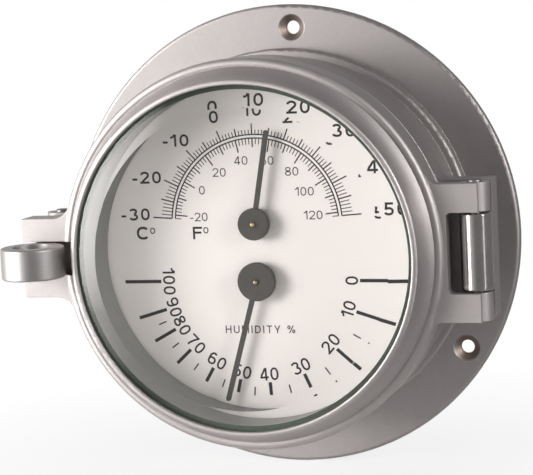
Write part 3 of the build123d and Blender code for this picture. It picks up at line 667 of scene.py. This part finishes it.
# thermometer scale: degrees Celsius outside a double arc, degrees Fahrenheit inside it
ARC_INNER = 26.2
ARC_OUTER = 27.3
ARC_WIDTH = 0.40
CELSIUS_STEP = 2.15
CELSIUS_AT_TOP = 10
CELSIUS_LOW, CELSIUS_HIGH = -30, 50
FAHRENHEIT_LOW, FAHRENHEIT_HIGH = -22, 122
INK_FINE = 0.27
INK_MEDIUM = 0.40

# each set of Celsius ticks ends on its own circle: (radius, drop of its centre, width)
CELSIUS_TENS = (33.85, 3.2, INK_MEDIUM)
CELSIUS_FIVES = (32.3, 2.7, INK_MEDIUM)
CELSIUS_ONES = (31.1, 2.3, INK_FINE)
# each set of Fahrenheit ticks starts at one radius: (radius, width)
FAHRENHEIT_TWENTIES = (22.3, INK_MEDIUM)
FAHRENHEIT_TENS = (23.4, INK_MEDIUM)
FAHRENHEIT_TWOS = (24.3, INK_FINE)


def celsius_angle(value):
    return 90 - (value - CELSIUS_AT_TOP) * CELSIUS_STEP


def reach_to_circle(angle, radius, drop):
    """From a centre along an angle out to a circle whose own centre lies lower by drop."""
    b = drop * math.sin(math.radians(angle))
    return -b + math.sqrt(b * b + radius * radius - drop * drop)


scales = Ink()
scale_ends = (celsius_angle(CELSIUS_HIGH), celsius_angle(CELSIUS_LOW))
scales.arc(THERMOMETER_Z, ARC_INNER, *scale_ends, ARC_WIDTH)
scales.arc(THERMOMETER_Z, ARC_OUTER, *scale_ends, ARC_WIDTH)
for value in range(CELSIUS_LOW, CELSIUS_HIGH + 1):
    if value % 10 == 0:
        radius, drop, width = CELSIUS_TENS
    elif value % 5 == 0:
        radius, drop, width = CELSIUS_FIVES
    else:
        radius, drop, width = CELSIUS_ONES
    angle = celsius_angle(value)
    scales.tick(THERMOMETER_Z, angle, ARC_OUTER, reach_to_circle(angle, radius, drop), width)
for value in range(FAHRENHEIT_LOW, FAHRENHEIT_HIGH + 1, 2):
    if value % 20 == 0:
        radius, width = FAHRENHEIT_TWENTIES
    elif value % 10 == 0:
        radius, width = FAHRENHEIT_TENS
    else:
        radius, width = FAHRENHEIT_TWOS
    scales.tick(THERMOMETER_Z, celsius_angle((value - 32) / 1.8), radius, ARC_INNER, width)

# lettering: (height, stroke weight, stretch), and gaps between characters in heights
CELSIUS_GAP = 0.16
LEGEND_GAP = 0.26
CELSIUS_TEXT = (3.75, 0.175, 1.34)
FAHRENHEIT_TEXT = (2.65, 0.115, 1.16)
C_TEXT = (4.1, 0.18, 1.46)
F_TEXT = (3.9, 0.17, 1.30)
DEGREE_TEXT = (3.8, 0.085, 1.0)
CELSIUS_PLACES = {
    "-30": (-39.3, 12.2),
    "-20": (-34.9, 23.7),
    "-10": (-24.7, 35.0),
    "0": (-12.0, 41.9),
    "10": (0.4, 43.7),
    "20": (13.5, 41.2),
    "30": (26.5, 34.2),
    "40": (36.4, 23.6),
    "50": (40.6, 11.5),
}
FAHRENHEIT_PLACES = {
    "-20": (-18.5, 11.1),
    "0": (-17.0, 19.4),
    "20": (-11.1, 24.8),
    "40": (-3.9, 28.3),
    "60": (4.4, 28.1),
    "80": (12.1, 24.6),
    "100": (15.8, 18.4),
    "120": (18.2, 11.1),
}
for body, (x, z) in CELSIUS_PLACES.items():
    scales.text(body, x, z, *CELSIUS_TEXT, gap=CELSIUS_GAP)
for body, (x, z) in FAHRENHEIT_PLACES.items():
    scales.text(body, x, z, *FAHRENHEIT_TEXT)
for body, x, z, style in (
    ("C", -37.1, 6.3, C_TEXT),
    ("o", -33.9, 6.1, DEGREE_TEXT),
    ("F", -19.2, 6.1, F_TEXT),
    ("o", -16.4, 6.0, DEGREE_TEXT),
):
    scales.text(body, x, z, *style)

# hygrometer scale: ticks run from one circle about its spindle to one about the dial's centre
# angles of 0, 10, 20 and so on to 100 percent, unevenly spaced as in the photo
HUMIDITY_ANGLES = [359.5, 342.0, 318.0, 294.1, 273.4, 256.2, 239.3, 222.8, 208.5, 196.3, 180.2]
MAJOR_START = 32.0
MAJOR_RIM_R = 44.9
MAJOR_WIDTH = 1.05
MINOR_SPAN = (33.6, 36.3)
MINOR_WIDTH = 0.42
HUMIDITY_TEXT_R = 29.4
HUMIDITY_TEXT = (4.0, 0.148, 1.08)
LEGEND_TEXT = (2.4, 0.135, 1.20)
LEGEND_PLACE = (-0.4, -24.2)

for angle in HUMIDITY_ANGLES:
    reach = reach_to_circle(angle, MAJOR_RIM_R, HYGROMETER_Z)
    scales.tick(HYGROMETER_Z, angle, MAJOR_START, reach, MAJOR_WIDTH)
# small ticks stand halfway between the others, except in the first and the last stretch
for low, high in list(zip(HUMIDITY_ANGLES, HUMIDITY_ANGLES[1:]))[1:-1]:
    angle = (low + high) / 2
    scales.tick(HYGROMETER_Z, angle, *MINOR_SPAN, MINOR_WIDTH)
for k, angle in enumerate(HUMIDITY_ANGLES):
    a = math.radians(angle)
    x = HUMIDITY_TEXT_R * math.cos(a)
    z = HYGROMETER_Z + HUMIDITY_TEXT_R * math.sin(a)
    # figures stand with their feet towards the rim
    scales.text(str(10 * k), x, z, *HUMIDITY_TEXT, turn=angle - 270)
scales.text("HUMIDITY %", *LEGEND_PLACE, *LEGEND_TEXT, gap=LEGEND_GAP)
dial_print = scales.build("dial_printing")
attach(dial_print, "case")

# --- floor, light and camera --------------------------------------------------------------

FLOOR_CLEARANCE = 0.0003
FLOOR_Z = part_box("case_body")[0].z - FLOOR_CLEARANCE
FLOOR_R = 3.0
FLOOR_SIDES = 96
FLOOR_TONES = ((0.86, 0.86, 0.86, 1), (0.90, 0.90, 0.90, 1))
# distances from the middle between which the floor fades out into the white background,
# and how much of that white it has at the middle
FLOOR_FADE = (0.05, 0.17)
FLOOR_LIFT = 0.78


def floor_disc():
    points = [(0.0, 0.0, FLOOR_Z)]
    faces = []
    for i in range(FLOOR_SIDES):
        a = 2 * math.pi * i / FLOOR_SIDES
        points.append((FLOOR_R * math.cos(a), FLOOR_R * math.sin(a), FLOOR_Z))
        faces.append((0, 1 + i, 1 + (i + 1) % FLOOR_SIDES))
    return new_mesh("studio_floor", points, faces)


def floor_material():
    """Pale matt floor whose soft shadow fades out into the white background."""
    look = Look("pale_floor")
    look.set("Roughness", 0.8)
    pale = look.mix(look.noise(6.0, 3.0), *FLOOR_TONES)
    look.wire(pale, look.shader.inputs["Base Color"])
    flat = look.node("ShaderNodeVectorMath", operation="MULTIPLY")
    flat.inputs[1].default_value = (1, 1, 0)
    distance = look.node("ShaderNodeVectorMath", operation="LENGTH")
    look.wire(look.coords.outputs["Object"], flat.inputs[0])
    look.wire(flat.outputs["Vector"], distance.inputs[0])
    path = look.node("ShaderNodeLightPath")
    white = look.node("ShaderNodeEmission")
    fade = look.spread(distance.outputs["Value"], FLOOR_LIFT, 1.0, *FLOOR_FADE)
    seen = look.maths("MULTIPLY", fade, path.outputs["Is Camera Ray"])
    lit = look.blend(seen, look.shader.outputs[0], white.outputs[0])
    # reflections see the room carry on below the floor, without a horizon line
    gone = look.node("ShaderNodeBsdfTransparent")
    far = look.spread(distance.outputs["Value"], 0.0, 1.0, *FLOOR_FADE)
    mirrored = look.maths("MULTIPLY", far, path.outputs["Is Glossy Ray"])
    surface = look.blend(mirrored, lit, gone.outputs[0])
    look.wire(surface, look.output.inputs["Surface"])
    return look.material


floor = floor_disc()
floor.data.materials.append(floor_material())

OBJECT_MIDDLE = Vector((0, -0.03, 0))


def softbox(name, place, size, power, color):
    """An area light aimed at the object that fades out towards its edges."""
    light = bpy.data.lights.new(name, "AREA")
    light.shape = "RECTANGLE"
    light.size, light.size_y = size
    light.energy = power
    light.color = color
    light.use_nodes = True
    nodes = Nodes(light.node_tree)
    geometry = nodes.node("ShaderNodeNewGeometry")
    split = nodes.node("ShaderNodeSeparateXYZ")
    nodes.wire(geometry.outputs["Parametric"], split.inputs[0])
    window = []
    for u in split.outputs[:2]:
        # 4 u (1 - u): 1 in the middle of the light and 0 at its edges
        hump = nodes.maths("MULTIPLY", u, nodes.maths("SUBTRACT", 1.0, u))
        window.append(nodes.maths("MULTIPLY", hump, 4.0))
    emission = light.node_tree.nodes["Emission"]
    nodes.wire(nodes.maths("MULTIPLY", *window), emission.inputs["Strength"])
    obj = bpy.data.objects.new(name, light)
    bpy.context.scene.collection.objects.link(obj)
    obj.location = place
    obj.rotation_euler = (OBJECT_MIDDLE - Vector(place)).to_track_quat("-Z", "Y").to_euler()


# name, place, size, power and colour
softbox("key_left", (-1.15, -0.65, -0.02), (0.9, 1.5), 33.0, (1.0, 0.975, 0.965))
softbox("key_front", (-0.98, -0.90, 0.15), (0.7, 1.1), 35.0, (1.0, 0.98, 0.97))
softbox("fill_right", (1.15, -0.50, 0.50), (0.5, 0.8), 23.0, (1.0, 0.99, 0.985))
softbox("strip_right", (1.15, -0.55, 0.10), (0.12, 1.4), 1.6, (1.0, 0.99, 0.985))

# the room: bright to the left and below, dark to the right and above
ROOM_TOWARDS = (-0.94, 0.15, -0.30)
ROOM_SPAN = (-0.25, 0.80)
ROOM_LEVELS = (0.22, 0.90)
ROOM_COLOR = (1.0, 0.985, 0.975, 1)
PAPER_WHITE = (1, 1, 1, 1)


def studio_world():
    """The room for reflections and light, and plain white for the camera."""
    world = bpy.data.worlds.new("studio_world")
    world.use_nodes = True
    nodes = Nodes(world.node_tree)
    nodes.tree.nodes.clear()
    direction = nodes.node("ShaderNodeTexCoord")
    towards = nodes.node("ShaderNodeVectorMath", operation="DOT_PRODUCT")
    towards.inputs[1].default_value = ROOM_TOWARDS
    nodes.wire(direction.outputs["Generated"], towards.inputs[0])
    room = nodes.node("ShaderNodeBackground")
    room.inputs["Color"].default_value = ROOM_COLOR
    level = nodes.spread(towards.outputs["Value"], *ROOM_LEVELS, *ROOM_SPAN, "SMOOTHSTEP")
    nodes.wire(level, room.inputs["Strength"])
    paper = nodes.node("ShaderNodeBackground")
    paper.inputs["Color"].default_value = PAPER_WHITE
    path = nodes.node("ShaderNodeLightPath")
    surface = nodes.blend(path.outputs["Is Camera Ray"], room.outputs[0], paper.outputs[0])
    nodes.wire(surface, nodes.node("ShaderNodeOutputWorld").inputs["Surface"])
    return world


scene = bpy.context.scene
scene.world = studio_world()
scene.view_settings.view_transform = "Standard"
scene.cycles.max_bounces = 16
scene.cycles.transmission_bounces = 12
scene.cycles.transparent_max_bounces = 12
scene.cycles.sample_clamp_indirect = 6.0

CAMERA_PLACE = Vector((0.17485, -0.60778, 0.07740))
CAMERA_TARGET = Vector((-0.00846, -0.00263, -0.00049))
CAMERA_LENS = 131.37
SENSOR_WIDTH = 36.0
CAMERA_ROLL = math.radians(2.9)

camera_data = bpy.data.cameras.new("camera")
camera_data.lens = CAMERA_LENS
camera_data.sensor_width = SENSOR_WIDTH
camera = bpy.data.objects.new("camera", camera_data)
scene.collection.objects.link(camera)
camera.location = CAMERA_PLACE
aim = (CAMERA_TARGET - CAMERA_PLACE).to_track_quat("-Z", "Y").to_matrix().to_4x4()
camera.rotation_euler = (aim @ Matrix.Rotation(-CAMERA_ROLL, 4, "Z")).to_euler()
scene.camera = camera
